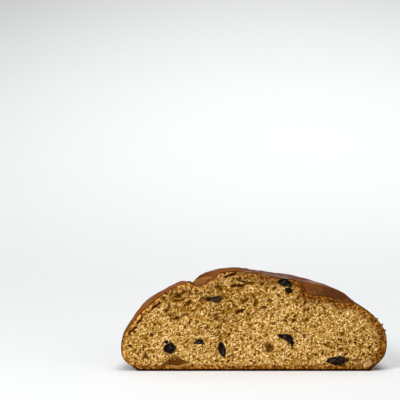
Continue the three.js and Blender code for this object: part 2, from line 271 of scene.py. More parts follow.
def pieceName(node):
    # raisin_low_left gives raisinLowLeft
    first, *others = node.split("_")
    return first + "".join(word.capitalize() for word in others)


def lumpFactor(x, y, z, seed, corners):
    # how far out the skin of a lump lies: 1, slow waves, quick waves and five blunt corners
    broad = np.sin(2.6 * x + seed) * np.sin(2.9 * z - 2 * seed + 1.3 * y)
    fine = np.sin(6.1 * z + 3 * seed + 4 * x) * np.cos(5.3 * y - seed)
    blunt = np.hypot(x, z) * np.cos(5 * np.arctan2(z, x) + seed)
    return 1 + 0.11 * broad + 0.05 * fine + corners * blunt


def turned(a, b, degrees):
    # the pair turned counter-clockwise in the plane of the cut face
    angle = math.radians(degrees)
    return a * math.cos(angle) - b * math.sin(angle), a * math.sin(angle) + b * math.cos(angle)


def ovalDistance(x, z, place, size, turn, pointed=0.0, bend=0.0):
    # 0 in the middle of an oval, 1 on its edge, with the place turned into its own directions,
    # and those directions as a pair of numbers for lumpFactor
    a, b = turned(x - place[0], z - place[1], -turn)
    a = a / (size[0] / 2)
    b = b / (size[1] / 2) + bend * (a * a - bendMiddle)
    b = np.sign(b) * np.abs(b) ** (1 / (1 + pointed))
    return np.hypot(a, b), a, b


def socketDepth(x, z):
    # the pocket round each fruit in the cut face, as deep as the fruit and a little larger
    depth = np.zeros_like(x)
    first, step = fruitSeeds["cut"]
    for number, fruit in enumerate(cutFruit):
        size = np.array(fruit["size"]) + 2 * socketGap
        far, a, b = ovalDistance(x, z, fruit["place"], size, fruit["turn"], fruit["pointed"], fruit["bend"])
        direction = np.stack([a, 0 * a, b]) / np.maximum(far, 1e-6)
        far = far / lumpFactor(*direction, first + step * number, fruit["corners"])
        bowl = (fruit["depth"] / 2 + socketGap) * np.sqrt(np.clip(1 - far**2, 0, 1)) + middleBehindFace
        depth = np.maximum(depth, np.where(far < 1, bowl, 0))
        for bitX, bitZ, width, height in fruit["bits"]:
            far, _, _ = ovalDistance(x, z, (bitX, bitZ), (width + socketGap, height + socketGap), 0)
            depth = np.maximum(depth, np.where(far < 1, 0.6 * height, 0))
    return depth


# Hollows of the cut face: place, size, turn, depth, pointed, and how much each is a smooth print.
hollows = [
    ((84.6, 8.8), (7.6, 3.2), 4, 3.6, 0.3, 0.7),
    ((-19.2, 79.6), (10.3, 2.6), 18, 4, 0.6, 0),
    ((-9.7, 74.4), (7, 2.2), -6, 3.5, 0.6, 0),
    ((-13, 70.7), (12.4, 2.4), 6, 3.5, 0.6, 0),
    ((-10.5, 50), (8.6, 2.8), 25, 4, 0.6, 0.1),
    ((8.9, 52.9), (5.4, 2.2), -8, 3, 0.5, 0),
    ((13.4, 58.7), (4.4, 3.4), 0, 3.5, 0.2, 0.3),
    ((-38.6, 36), (5.4, 3.4), 15, 4, 0.3, 0.4),
    ((-63.9, 44), (7, 3), 28, 3, 0.5, 0),
    ((42.1, 28.8), (3.2, 3.8), 0, 3.5, 0.1, 0.3),
    ((95.3, 27.5), (1.4, 3.6), 4, 2.2, 0.5, 0),
    ((-31, 47), (4.5, 2), 35, 2.6, 0.5, 0),
    ((-21, 30), (3.4, 2.2), -20, 2.4, 0.4, 0.2),
    ((-84, 30), (3.2, 2.4), 20, 2.2, 0.2, 0),
    ((-90, 12), (2.6, 3.4), -10, 2.4, 0.2, 0),
]
# Prints of large pieces of fruit, by their corners in the order of a clock run backwards. lean is how
# much shallower the back wall gets for each mm upwards, ragged how far the edge wanders, margin how
# wide its slope is, and paleWidth how far a paler tone reaches in from the last side.
cornerHollows = [
    {"corners": [(-76.5, 4.6), (-62.5, 3.0), (-53.4, 6.0), (-57.5, 8.6), (-66, 13.8)],
     "depth": 6.5, "lean": 0.42, "ragged": 0.15, "margin": 0.8, "paleWidth": 4.2},
    {"corners": [(7.2, 16.6), (11.4, 14.2), (16.4, 16.2), (17.6, 19.8), (13.6, 23.0), (9.6, 21.4)],
     "depth": 3.6, "lean": -0.25, "ragged": 1.9, "margin": 2.2, "paleWidth": 2.4},
]


def hollowDepth(x, z, roughness):
    # depth of the hollows, steep at the edge and level inside, their share of smooth print, and
    # of that the pale part
    depth = np.zeros_like(x)
    fruitPrint = np.zeros_like(x)
    palePrint = np.zeros_like(x)
    for place, size, turn, deep, pointed, smooth in hollows:
        far, _, _ = ovalDistance(x, z, place, size, turn, pointed)
        far = far + (0.22 - 0.14 * smooth) * roughness
        inside = 1 - smoothStep(0.75, 1.05, far)
        depth = np.maximum(depth, deep * inside * (1 - 0.25 * np.minimum(far, 1)))
        fruitPrint = np.maximum(fruitPrint, smooth * inside)
    for hollow in cornerHollows:
        # signed distance to the nearest straight side, negative inside
        corners = np.array(hollow["corners"])
        away = np.full_like(x, -1e9)
        for start, end in zip(corners, np.roll(corners, -1, axis=0)):
            side = unit(end - start)
            fromSide = (x - start[0]) * side[1] - (z - start[1]) * side[0]
            away = np.maximum(away, fromSide)
        inside = 1 - smoothStep(-hollow["margin"], 0.3, away + hollow["ragged"] * roughness)
        # fromSide is that of the last side here
        pale = inside * (1 - smoothStep(0.5, 1.0, roughness - fromSide / hollow["paleWidth"]))
        palePrint = np.maximum(palePrint, pale)
        depth = np.maximum(depth, inside * (hollow["depth"] - hollow["lean"] * (z - corners[:, 1].min())))
        fruitPrint = np.maximum(fruitPrint, inside)
    return depth, fruitPrint, palePrint


crumb = {
    # mm between pores, smallest and largest radius, share of places with a pore, how oval they are
    "poreSizes": [
        {"spacing": 1.6, "radii": (0.38, 0.72), "filled": 0.85, "oval": 1.35, "seed": 61},
        {"spacing": 3.1, "radii": (0.62, 1.30), "filled": 0.55, "oval": 1.5, "seed": 71},
    ],
    "openPores": {"spacing": 6.8, "radii": (1.2, 2.6), "filled": 0.7, "oval": 1.9, "seed": 81},
    "openAbove": (26, 56),        # heights between which the crumb opens, and x between which it closes
    "closedRightOf": (-14, 46),
    "poreDepth": 1.15,            # times the radius
    "waviness": 0.8,              # how far the walls of pores wander, and how far those of open pores do
    "openWaviness": 1.76,
    "grit": 0.16,
    "crustThickness": 3.6,
    "flatRow": {                  # a broken row of flat pores
        "under": 4.4,             # distance from the crust, and how far that wanders
        "wander": 1.3,
        "width": 0.9,
        "depth": 1.5,
        "above": (12, 30),        # heights between which it sets in, and x between which it ends
        "leftOf": (-72, -62),
    },
    "columns": 436,
    "rows": 160,
    "edgeRing": 0.35,             # width of the plain ring between crust and crumb
    "middle": (0.0, 30.0),        # the plain ring narrows towards this point
    "lookout": (0.0, 14.0),       # a point from which every part of the edge is in sight
}


def porePattern(places, kind, growth):
    # Oval pores, one at a random spot in each cell of a lattice, or none. Gives for each place
    # 1 - the squared distance from the nearest pore in units of its radius (1 in its middle,
    # 0 on its wall, down to -1 between pores), and the depth of the round bowl of the pore.
    home = np.floor(places / kind["spacing"]).astype(np.int64)
    seed = kind["seed"]
    nearness = np.full(places.shape[:-1], -1.0)
    bowl = np.zeros(places.shape[:-1])
    for neighbour in np.ndindex(3, 3):
        cell = home + neighbour - 1
        chance = [cellRandom(cell, seed + k) for k in range(6)]
        spot = (cell + 0.15 + 0.7 * np.stack(chance[:2], axis=-1)) * kind["spacing"]
        small, large = kind["radii"]
        radius = (small + (large - small) * chance[2] ** 2) * growth
        angle = np.pi * (0.15 + 0.75 * (chance[3] - 0.5))        # most pores lean up to the right
        x, z = np.moveaxis(places - spot, -1, 0)
        a = (x * np.cos(angle) + z * np.sin(angle)) / (radius * kind["oval"])
        b = (z * np.cos(angle) - x * np.sin(angle)) / radius
        inner = np.where(chance[4] < kind["filled"], 1 - a * a - b * b, -1)
        opening = 0.3 + 0.7 * chance[5]        # some pores are only dents
        nearness = np.maximum(nearness, np.where(inner > 0, inner * opening, inner))
        bowl = np.maximum(bowl, radius * opening * np.sqrt(np.clip(inner, 0, 1)))
    return nearness, bowl


def flatPoreRow(places, rim):
    # 1 on a line a few mm under the crust of the left flank, broken into pieces by a noise along it
    row = crumb["flatRow"]
    x, z = places[..., 0], places[..., 1]
    line = row["under"] + row["wander"] * latticeNoise(places, 5, 23)
    shown = np.exp(-(((rim - line) / row["width"]) ** 2))
    along = np.arctan2(z - 20, x) * 80        # mm along the crust, roughly
    gaps = layeredNoise(np.stack([along, rim / 2], axis=-1), 3.2, 2, 25)
    shown = shown * smoothStep(-0.35, 0.0, gaps)
    return shown * smoothStep(*row["above"], z) * (1 - smoothStep(*row["leftOf"], x))


def crumbRelief(x, z, rim):
    # depth of the cut surface in mm, how near a pore is, and how open the crumb is, upper left
    places = np.stack([x, z], axis=-1)
    wander = np.stack([layeredNoise(places, 5, 2, 11), layeredNoise(places, 5, 2, 14)], axis=-1)
    slow = layeredNoise(places, 22, 2, 17)
    openness = smoothStep(*crumb["openAbove"], z) * (1 - smoothStep(*crumb["closedRightOf"], x))
    openness = np.clip(openness + 0.25 * slow, 0, 1)
    towardsCrust = smoothStep(0.5, crumb["crustThickness"] + 2, rim)
    growth = (0.72 + 0.28 * towardsCrust) * (1 + 0.16 * slow + 0.20 * openness)

    nearness, bowl = np.full_like(x, -1.0), np.zeros_like(x)
    for kind in crumb["poreSizes"]:
        kindNearness, kindBowl = porePattern(places + wander * crumb["waviness"], kind, growth)
        nearness, bowl = np.maximum(nearness, kindNearness), np.maximum(bowl, kindBowl)
    torn = places + wander * crumb["openWaviness"]
    openNearness, openBowl = porePattern(torn, crumb["openPores"], np.ones_like(x))
    opened = smoothStep(0.25, 0.8, openness) * smoothStep(4, 8, rim)
    nearness = np.maximum(nearness, opened * (openNearness + 1) - 1)
    bowl = np.maximum(bowl, opened * openBowl)

    row = flatPoreRow(places, rim)
    nearness = np.maximum(nearness, 3.2 * row - 1)
    surfaceWaves = opened * (0.9 + 0.9 * latticeNoise(places, 7, 27))
    grit = layeredNoise(places, 1.6, 2, 29) * crumb["grit"] + 0.15
    depth = crumb["poreDepth"] * bowl * (0.35 + 0.65 * towardsCrust)
    return depth + crumb["flatRow"]["depth"] * row + surfaceWaves + grit, nearness, openness


def outlineDistance(points, outline):
    # distance from each point to the nearest segment of the closed outline
    side = np.roll(outline, -1, axis=0) - outline
    length = np.maximum((side**2).sum(1), 1e-9)
    nearest = np.empty(len(points))
    for part in np.array_split(np.arange(len(points)), max(1, len(points) // 2000)):
        offset = points[part, None, :] - outline[None]
        share = np.clip((offset * side).sum(-1) / length, 0, 1)
        gap = offset - share[..., None] * side
        nearest[part] = np.sqrt((gap**2).sum(-1).min(1))
    return nearest


def stitch(outer, inner, outerAngle, innerAngle):
    # Triangles between two closed loops: both are walked in the order of their angle, and each
    # step makes a triangle with the last point passed on the other loop.
    outer, outerAngle = outer[np.argsort(outerAngle)], np.sort(outerAngle)
    inner, innerAngle = inner[np.argsort(innerAngle)], np.sort(innerAngle)
    nextOuter = np.append(outerAngle[1:], outerAngle[0] + 2 * np.pi)
    nextInner = np.append(innerAngle[1:], innerAngle[0] + 2 * np.pi)
    twiceInner = np.concatenate([innerAngle, innerAngle + 2 * np.pi])
    twiceOuter = np.concatenate([outerAngle, outerAngle + 2 * np.pi])
    passedInner = np.searchsorted(twiceInner, nextOuter, side="left") - 1
    passedOuter = np.searchsorted(twiceOuter, nextInner, side="right") - 1
    fromOuter = np.stack([outer, np.roll(outer, -1), inner[passedInner % len(inner)]], axis=1)
    fromInner = np.stack([outer[passedOuter % len(outer)], np.roll(inner, -1), inner], axis=1)
    return np.concatenate([fromOuter, fromInner])


def gridFaces(index):
    # two triangles for each cell of a grid of vertex numbers, rows by columns
    a, b = index[:-1, :-1].ravel(), index[:-1, 1:].ravel()
    c, d = index[1:, 1:].ravel(), index[1:, :-1].ravel()
    return np.concatenate([np.stack([a, b, c], 1), np.stack([a, c, d], 1)])


def makePiece(name, points, faces, finish, shares):
    # points in mm, y from the cut face; shares are numbers on the vertices that the finish reads
    mesh = bpy.data.meshes.new(name)
    placed = points * mm
    placed[:, 1] += cutFaceY
    mesh.vertices.add(len(points))
    mesh.vertices.foreach_set("co", placed.astype(np.float32).ravel())
    mesh.loops.add(faces.size)
    mesh.loops.foreach_set("vertex_index", faces.astype(np.int32).ravel())
    mesh.polygons.add(len(faces))
    mesh.polygons.foreach_set("loop_start", np.arange(0, faces.size, 3, dtype=np.int32))
    mesh.polygons.foreach_set("use_smooth", np.ones(len(faces), dtype=bool))
    mesh.update(calc_edges=True)
    mesh.validate()
    for label, values in shares.items():
        attribute = mesh.attributes.new(label, "FLOAT", "POINT")
        attribute.data.foreach_set("value", values.astype(np.float32))
    mesh.materials.append(finish)
    piece = bpy.data.objects.new(name, mesh)
    bpy.context.scene.collection.objects.link(piece)
    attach(piece, "root")
    return piece


crust = {
    "rows": 136,
    "columns": 160,
    "crowding": 0.55,        # columns stand closer near the cut face
    "dimples": 0.6,          # height of the soft dimples of the glazed skin
    "wrinkles": 0.2,
    "tornDough": 0.7,        # roughness of the strips in the slashes
    "baseSteps": 16,
    "basePits": 0.8,
}


def crustSurface():
    # the dome moved outwards by its relief, then by dimples and wrinkles, or torn dough in the slashes
    even = np.linspace(0, 1, crust["columns"] + 1)
    turn = even - crust["crowding"] * np.sin(2 * np.pi * even) / (2 * np.pi)
    turn[0], turn[-1] = 0, 1
    turnGrid, riseGrid = np.meshgrid(turn, np.arange(crust["rows"]) / crust["rows"])
    dome = domePoint(turnGrid, riseGrid)
    relief, strip, border = crustRelief(dome)
    away = smoothStep(0.5, 9, dome[..., 1]) * smoothStep(3, 20, dome[..., 2])
    dimples = layeredNoise(dome, 15, 2, 31) * crust["dimples"]
    wrinkles = (1 - 2 * np.abs(layeredNoise(dome * [1, 1, 1.4], 6, 2, 35))) * crust["wrinkles"]
    torn = layeredNoise(dome * [0.6, 1, 1], 4, 3, 39) * crust["tornDough"]
    skin = (dimples + wrinkles) * (1 - strip) + torn * strip
    surface = dome + domeNormal(turnGrid, riseGrid) * (relief + skin * away)[..., None]
    surface[:, [0, -1], 1] = 0
    surface[0, :, 2] = 0
    return surface, strip, border


def flankShare(surface):
    # where the crust is lighter: low on the sides, where it baked lighter, and by the cut face, most by its
    # left end; further right by the cut face it is kept darker as painted shade
    x, y, z = np.moveaxis(surface, -1, 0)
    height = z + 7 * layeredNoise(surface, 24, 2, 91)
    # lighter by the cut face, less so right of the left end, where the darker crust is painted shade
    byCut = (1 - smoothStep(3, 15, y)) * (0.35 + 0.5 * (1 - smoothStep(-52, -30, x)))
    return np.maximum(0.4 * (1 - smoothStep(18, 50, height)), byCut)


def baseSurface(edge):
    # from each point of the lower edge straight forward to the cut face, with shallow pits
    share = np.linspace(0, 1, crust["baseSteps"] + 1)[1:, None]
    x = np.broadcast_to(edge[:, 0], (crust["baseSteps"], len(edge)))
    y = edge[:, 1] * (1 - share)
    base = np.stack([x, y, np.zeros_like(x)], axis=-1)
    inside = smoothStep(0, 6, np.minimum(y, edge[:, 1] - y))
    base[..., 2] = crust["basePits"] * np.clip(layeredNoise(base, 11, 2, 51) - 0.2, 0, 1) * inside
    return base


def shellMesh():
    # Crust, crown and base as one open shell with its shares. The first two values are the grid of
    # the crust and the crown, which the cut face starts from, and the loop is its edge: up the right
    # side, over the crown, down the left and back along the base.
    surface, strip, border = crustSurface()
    rows, columns = surface.shape[:2]
    crownRelief = crustRelief(np.array([[0, 0, loaf["crownHeight"]]]))[0]
    crown = np.array([[0, 0, loaf["crownHeight"] + crownRelief[0]]])
    crustIndex = np.arange(rows * columns).reshape(rows, columns)
    crownIndex = crustIndex.size
    crownFaces = np.stack([crustIndex[-1, :-1], crustIndex[-1, 1:], np.full(columns - 1, crownIndex)], axis=1)

    base = baseSurface(surface[0, 1:-1])
    baseIndex = np.arange(base[..., 0].size).reshape(base.shape[:2]) + crownIndex + 1
    baseIndex = np.concatenate([crustIndex[:1, 1:-1], baseIndex])
    ends = np.zeros((len(baseIndex), 1), dtype=int)
    baseIndex = np.concatenate([ends + crustIndex[0, 0], baseIndex, ends + crustIndex[0, -1]], axis=1)
    baseFaces = gridFaces(baseIndex[::-1])
    # the two end points repeat in each row, which makes faces without area
    baseFaces = baseFaces[(baseFaces != np.roll(baseFaces, 1, axis=1)).all(axis=1)]

    points = np.concatenate([surface.reshape(-1, 3), crown, base.reshape(-1, 3)])
    faces = np.concatenate([gridFaces(crustIndex), crownFaces, baseFaces])
    loop = np.concatenate([crustIndex[:, 0], [crownIndex], crustIndex[::-1, -1], baseIndex[-1, -2:0:-1]])
    onCrust = np.arange(len(points)) < crownIndex
    shares = {name: np.zeros(len(points)) for name in ("slash", "slashBorder", "flank", "base", "edge")}
    shares["slash"][onCrust] = strip.ravel()
    shares["slashBorder"][onCrust] = border.ravel()
    shares["flank"][onCrust] = flankShare(surface).ravel()
    shares["base"][crownIndex + 1:] = 1
    shares["base"][crustIndex[0]] = 1
    shares["edge"][loop] = 1
    shares["skin"] = np.ones(len(points))
    shares["onFloor"] = smoothStep(3, 0.5, points[:, 2])
    return surface, crown, points, faces, loop, shares


def faceGrid(surface, crown):
    # x and z of the cut face: upright lines between the lower and the upper edge, closest at the ends
    middle = np.array(crumb["middle"])
    right, left = surface[:, 0, [0, 2]], surface[:, -1, [0, 2]]
    rightmost, leftmost = int(np.argmax(right[:, 0])), int(np.argmin(left[:, 0]))
    upper = np.concatenate([left[leftmost:], crown[:, [0, 2]], right[rightmost:][::-1]])
    lower = np.concatenate([left[leftmost::-1], right[:rightmost + 1]])
    nearEnd = np.array([0.04, 0.12, 0.25])
    x = np.linspace(upper[0, 0] + 0.5, upper[-1, 0] - 0.5, crumb["columns"])
    x = np.concatenate([upper[0, 0] + nearEnd, x, upper[-1, 0] - nearEnd[::-1]])
    top = np.stack([x, np.interp(x, upper[:, 0], upper[:, 1])], axis=1)
    bottom = np.stack([x, np.interp(x, lower[:, 0], lower[:, 1])], axis=1)
    top = top + unit(middle - top) * crumb["edgeRing"]
    bottom = bottom + unit(middle - bottom) * crumb["edgeRing"]
    share = np.linspace(0, 1, crumb["rows"] + 1)[:, None, None]
    return bottom * (1 - share) + top * share


def faceSurface(places, rim):
    # depth of the cut face at each place, and the shares that its finish reads
    x, z = places.T
    depth, nearness, openness = crumbRelief(x, z, rim)
    hollow, fruitPrint, palePrint = hollowDepth(x, z, layeredNoise(places, 2.6, 2, 41))
    depth = depth * (1 - 0.8 * fruitPrint) + hollow
    depth = np.maximum(depth, socketDepth(x, z)) * smoothStep(0.2, 1.0, rim)
    # the band of crumb under the crust is browner and wider at the bottom, where it baked browner, and at the
    # right end and below the slashed top, where this is painted shade
    browned = np.maximum(smoothStep(60, 104, x), smoothStep(9, 3, z) * 0.75)
    browned = np.maximum(browned, smoothStep(-30, 10, x) * smoothStep(30, 60, z))
    onFloor = smoothStep(5, 2.5, z)
    shares = {
        "rim": rim,
        "browned": browned,
        "onFloor": onFloor,
        # the edge line is wider along the floor, where it partly carries painted contact shade
        "edge": 1 - smoothStep(0.3 + 0.9 * onFloor, 0.9 + 1.5 * onFloor, rim),
        "pore": 0.5 + 0.5 * nearness,
        "openness": openness,
        "fruitPrint": fruitPrint,
        "palePrint": palePrint,
        "hollow": np.clip(hollow / 3, 0, 1),
    }
    return depth, shares


def breadMesh():
    # the shell, the cut face and the ring that joins them; a share that one of them lacks is 0 there
    surface, crown, shell, shellFaces, loop, shellShares = shellMesh()
    grid = faceGrid(surface, crown)
    places = grid.reshape(-1, 2)
    rim = outlineDistance(places, shell[loop][:, [0, 2]])
    depth, faceShares = faceSurface(places, rim)
    points = np.concatenate([shell, np.stack([places[:, 0], depth, places[:, 1]], axis=1)])

    index = np.arange(len(places)).reshape(grid.shape[:2]) + len(shell)
    innerLoop = np.concatenate([index[:, -1], index[-1, -2::-1], index[-2::-1, 0], index[0, 1:-1]])
    x, z = crumb["lookout"]
    angles = [np.arctan2(points[edge, 2] - z, points[edge, 0] - x) for edge in (loop, innerLoop)]
    faces = np.concatenate([shellFaces, stitch(loop, innerLoop, *angles), gridFaces(index)])
    shares = {}
    for name in sorted({*shellShares, *faceShares}):
        parts = (shellShares.get(name, np.zeros(len(shell))), faceShares.get(name, np.zeros(len(places))))
        shares[name] = np.concatenate(parts)
    return points, faces, shares


class Wire:
    # A socket that can be written into sums: each operator adds a Math node.
    def __init__(self, finish, socket):
        self.finish, self.socket = finish, socket

    def math(self, operation, first, second):
        return self.finish.add("ShaderNodeMath", {"operation": operation}, {0: first, 1: second})

    def __add__(self, other):
        return self.math("ADD", self, other)

    __radd__ = __add__

    def __sub__(self, other):
        return self.math("SUBTRACT", self, other)

    def __rsub__(self, other):
        return self.math("SUBTRACT", other, self)

    def __mul__(self, other):
        return self.math("MULTIPLY", self, other)

    __rmul__ = __mul__


class Finish:
    # A material and its Principled shader. Sizes of patterns are in mm.
    def __init__(self, name, **constants):
        self.material = bpy.data.materials.new(name)
        self.material.use_nodes = True
        self.tree = self.material.node_tree
        self.shader = self.tree.nodes["Principled BSDF"]
        for socket, value in constants.items():
            self.shader.inputs[socket.replace("_", " ")].default_value = value

    def feed(self, socket, value):
        if isinstance(value, Wire):
            self.tree.links.new(value.socket, socket)
        else:
            socket.default_value = value

    def add(self, kind, settings, inputs, output=0):
        node = self.tree.nodes.new(kind)
        for name, value in settings.items():
            setattr(node, name, value)
        for name, value in inputs.items():
            self.feed(node.inputs[name], value)
        return Wire(self, node.outputs[output])

    def share(self, name):
        return self.add("ShaderNodeAttribute", {"attribute_name": name}, {}, "Fac")

    def place(self):
        return self.add("ShaderNodeTexCoord", {}, {}, "Object")

    def leaning(self, degrees, stretch):
        # place drawn out along a direction that leans up to the right by so many degrees
        turn = (0, -math.radians(degrees), 0)
        inputs = {"Vector": self.place(), "Rotation": turn, "Scale": (stretch, 1, 1)}
        return self.add("ShaderNodeMapping", {"vector_type": "TEXTURE"}, inputs)

    def noise(self, size, detail=3.0, roughness=0.55, distortion=0.0, place=None):
        inputs = {"Vector": place or self.place(), "Scale": 1 / (size * mm), "Detail": detail,
                  "Roughness": roughness, "Distortion": distortion}
        return self.add("ShaderNodeTexNoise", {}, inputs, 0)

    def cells(self, size):
        inputs = {"Vector": self.place(), "Scale": 1 / (size * mm), "Randomness": 1.0}
        return self.add("ShaderNodeTexVoronoi", {"feature": "F1"}, inputs, "Distance")

    def ramp(self, value, low, high, bottom=0.0, top=1.0):
        inputs = {"Value": value, "From Min": low, "From Max": high, "To Min": bottom, "To Max": top}
        return self.add("ShaderNodeMapRange", {"interpolation_type": "SMOOTHSTEP"}, inputs)

    def blend(self, amount, first, second):
        colours = [colour if isinstance(colour, Wire) else (*colour, 1) for colour in (first, second)]
        return self.add("ShaderNodeMix", {"data_type": "RGBA"}, {0: amount, 6: colours[0], 7: colours[1]}, 2)

    def bump(self, height, distance, strength=1.0):
        inputs = {"Height": height, "Distance": distance * mm, "Strength": strength}
        return self.add("ShaderNodeBump", {}, inputs)

    def surface(self, **links):
        for socket, value in links.items():
            self.feed(self.shader.inputs[socket.replace("_", " ")], value)
        return self.material


breadColours = {        # linear colours
    # pale crumb walls, partly painted highlight on the lit rims of pores
    "crumbPaleAndHighlight": (1.0, 0.72, 0.33),
    "crumbMiddle": (0.45, 0.225, 0.026),
    "poreRim": (0.45, 0.215, 0.030),
    # painted shade inside the pores and hollows of the crumb
    "crumbShade": (0.085, 0.024, 0.0005),
    "openTone": (0.44, 0.270, 0.105),
    "toastedLight": (0.95, 0.50, 0.115),
    "toasted": (0.31, 0.110, 0.011),
    "toastedOrange": (0.44, 0.180, 0.022),
    "toastedBrown": (0.155, 0.050, 0.005),
    # dark specks of the toasted band, and painted shade inside its pores
    "toastedSpeckAndShade": (0.055, 0.012, 0.001),
    "crustLine": (0.050, 0.014, 0.002),
    # dark base crust along the floor, partly painted contact shade
    "floorLineAndContactShade": (0.014, 0.004, 0.001),
    "print": (0.165, 0.060, 0.008),
    "printBrown": (0.25, 0.098, 0.016),
    "printPale": (0.36, 0.185, 0.040),
    "printRim": (0.56, 0.310, 0.080),
    "glazed": (0.165, 0.048, 0.011),
    "glazedDark": (0.100, 0.027, 0.007),
    "glazedWarm": (0.270, 0.083, 0.013),
    "torn": (0.235, 0.092, 0.024),
    "tornDark": (0.130, 0.048, 0.014),
    "tornBorder": (0.32, 0.125, 0.022),
    "baseBrown": (0.17, 0.066, 0.016),
    "baseDark": (0.055, 0.020, 0.007),
}


def breadFinish():
    c = breadColours
    f = Finish("breadFinish", IOR=1.42, Specular_IOR_Level=0.0, Coat_IOR=1.75, Coat_Roughness=0.10)
    skin, strip, base, rim = f.share("skin"), f.share("slash"), f.share("base"), f.share("rim")
    openness, fruitPrint, hollow = f.share("openness"), f.share("fruitPrint"), f.share("hollow")

    # crumb: bright flecks that lean to the right on a tan ground, partly painted highlight on the rims of
    # pores, and dark pores with pinholes finer than the mesh, darkened as painted shade inside them; all of
    # it browner in a band along the crust
    pinholes = 1 - f.ramp(f.cells(1.05), 0.12, 0.42)
    grain = f.noise(0.8, 3, 0.7) - 0.5
    depth = f.share("pore") + pinholes * 0.34 + grain * 0.6
    # the flecks are partly pale crumb walls and partly painted highlight on the lit rims of pores
    flecks = f.ramp(f.noise(1.15, 3, 0.65, 0.2, f.leaning(42, 1.6)), 0.45, 0.60)
    # browner and wider toasted band: baked at the bottom, painted shade at the right end and under the top
    browned = f.share("browned")
    toasted = (1 - f.ramp(rim + f.noise(5, 3) * 3.6 - browned * 2.2, 3.4, 9.6)) * (1 - fruitPrint)
    ground = f.blend(toasted, c["crumbMiddle"], f.blend(browned, c["toasted"], c["toastedBrown"]))
    bright = f.blend(toasted, c["crumbPaleAndHighlight"], f.blend(browned, c["toastedLight"], c["toastedOrange"]))
    poreShade = f.blend(toasted, c["crumbShade"], c["toastedSpeckAndShade"])
    blisters = f.ramp(f.noise(2.4, 3, 0.6), 0.46, 0.60)
    tone = f.blend(flecks * (1 - toasted) + blisters * toasted, ground, bright)
    patches = f.ramp(f.noise(16, 2), 0.35, 0.7)
    tone = f.blend(openness * patches * 0.25, tone, c["openTone"])
    # deeper places darken through a rim tone to the deepest tone: painted shade inside pores and pinholes
    tone = f.blend(f.ramp(depth, 0.24, 0.70) * (1 - toasted), tone, c["poreRim"])
    tone = f.blend(f.ramp(depth, 0.46, 0.95), tone, poreShade)
    specks = f.ramp(f.noise(2.2, 3, 0.65, 0.3), 0.53, 0.63)
    tone = f.blend(toasted * specks * 0.95, tone, c["toastedSpeckAndShade"])
    # the hollows darkened as painted shade inside them, except in the prints of fruit
    tone = f.blend(hollow * (1 - fruitPrint) * 0.8, tone, c["crumbShade"])
    printTone = f.blend(f.ramp(f.noise(5, 2), 0.4, 0.6), c["print"], c["printBrown"])
    printTone = f.blend(f.ramp(f.share("palePrint"), 0.2, 0.7), printTone, c["printPale"])
    printTone = f.blend(f.ramp(fruitPrint, 0.45, 0.95), c["printRim"], printTone)
    tone = f.blend(f.ramp(fruitPrint, 0.1, 0.4), tone, printTone)
    edge = f.share("edge")
    # a dark line along the edge: the crust's own dark skin, and along the floor a darker line that is partly
    # painted contact shade
    line = f.blend(f.share("onFloor"), c["crustLine"], c["floorLineAndContactShade"])
    tone = f.blend(f.ramp(edge + f.noise(2.5, 3) * 0.5, 0.35, 0.9) * 0.95, tone, line)

    # glazed crust: mahogany round the crown and lighter on the flanks, finely freckled, and torn
    # strips with brighter borders
    glazed = f.blend(f.ramp(f.noise(22, 3), 0.30, 0.70), c["glazedDark"], c["glazed"])
    glazed = f.blend(f.share("flank") * f.ramp(f.noise(14, 3), 0.2, 0.6, 0.45, 1.0), glazed, c["glazedWarm"])
    freckles = f.ramp(f.noise(3.5, 4, 0.7), 0.54, 0.72)
    glazed = f.blend(freckles * 0.4, glazed, c["glazedDark"])
    torn = f.blend(f.ramp(f.noise(3.6, 4, 0.65), 0.35, 0.65), c["tornDark"], c["torn"])
    torn = f.blend(f.share("slashBorder") * f.ramp(f.noise(6, 3), 0.3, 0.5), torn, c["tornBorder"])
    shell = f.blend(strip, glazed, torn)
    under = f.blend(f.ramp(f.noise(6, 5, 0.65), 0.36, 0.62), c["baseDark"], c["baseBrown"])
    shell = f.blend(edge * 0.85, f.blend(base, shell, under), line)

    matte = f.ramp(strip + base, 0.1, 0.6)
    gloss = skin * (1 - matte)
    patchyGloss = f.ramp(f.noise(10, 3, 0.5, 0.9), 0.44, 0.60, 0.12, 1.2)
    crumbHeight = grain * 0.9 - pinholes * 0.7
    skinHeight = f.noise(6.5, 3, 0.5, 0.9) * 2.6 * (1 - matte) + f.noise(1.8, 4, 0.6) * matte
    height = crumbHeight * (1 - skin) + skinHeight * skin
    return f.surface(
        Base_Color=f.blend(skin, tone, shell),
        Roughness=0.88 - gloss * 0.40,
        Coat_Weight=gloss * patchyGloss * 0.28,
        Normal=f.bump(height, 0.5, 0.6),
    )


fruitColours = {
    "black": (0.006, 0.0040, 0.0028),
    "purple": (0.022, 0.011, 0.008),
    "brown": (0.085, 0.025, 0.007),
    "nutPale": (0.60, 0.360, 0.130),
    "nutTan": (0.34, 0.165, 0.040),
}


def raisinFinish(name, purple, brown):
    c = fruitColours
    f = Finish(name, IOR=1.45, Specular_IOR_Level=0.03, Specular_Tint=(1, 0.84, 0.66, 1), Coat_Roughness=0.08)
    tone = f.blend(f.ramp(f.noise(3.5, 3, 0.6), 0.42, 0.68) * purple, c["black"], c["purple"])
    tone = f.blend(f.ramp(f.noise(4.5, 2), 0.44, 0.62) * brown, tone, c["brown"])
    # the folds darkened towards black: painted shade in the creases of the skin
    tone = f.blend(f.share("fold") * 0.6, tone, c["black"])
    return f.surface(
        Base_Color=tone,
        Roughness=f.ramp(f.noise(2.0, 3), 0.3, 0.7, 0.42, 0.68),
        Coat_Weight=f.ramp(f.noise(2.2, 2), 0.56, 0.62, 0.0, 1.0),
        Normal=f.bump(f.noise(1.7, 3, 0.6, 0.6), 1.2, 1.0),
    )


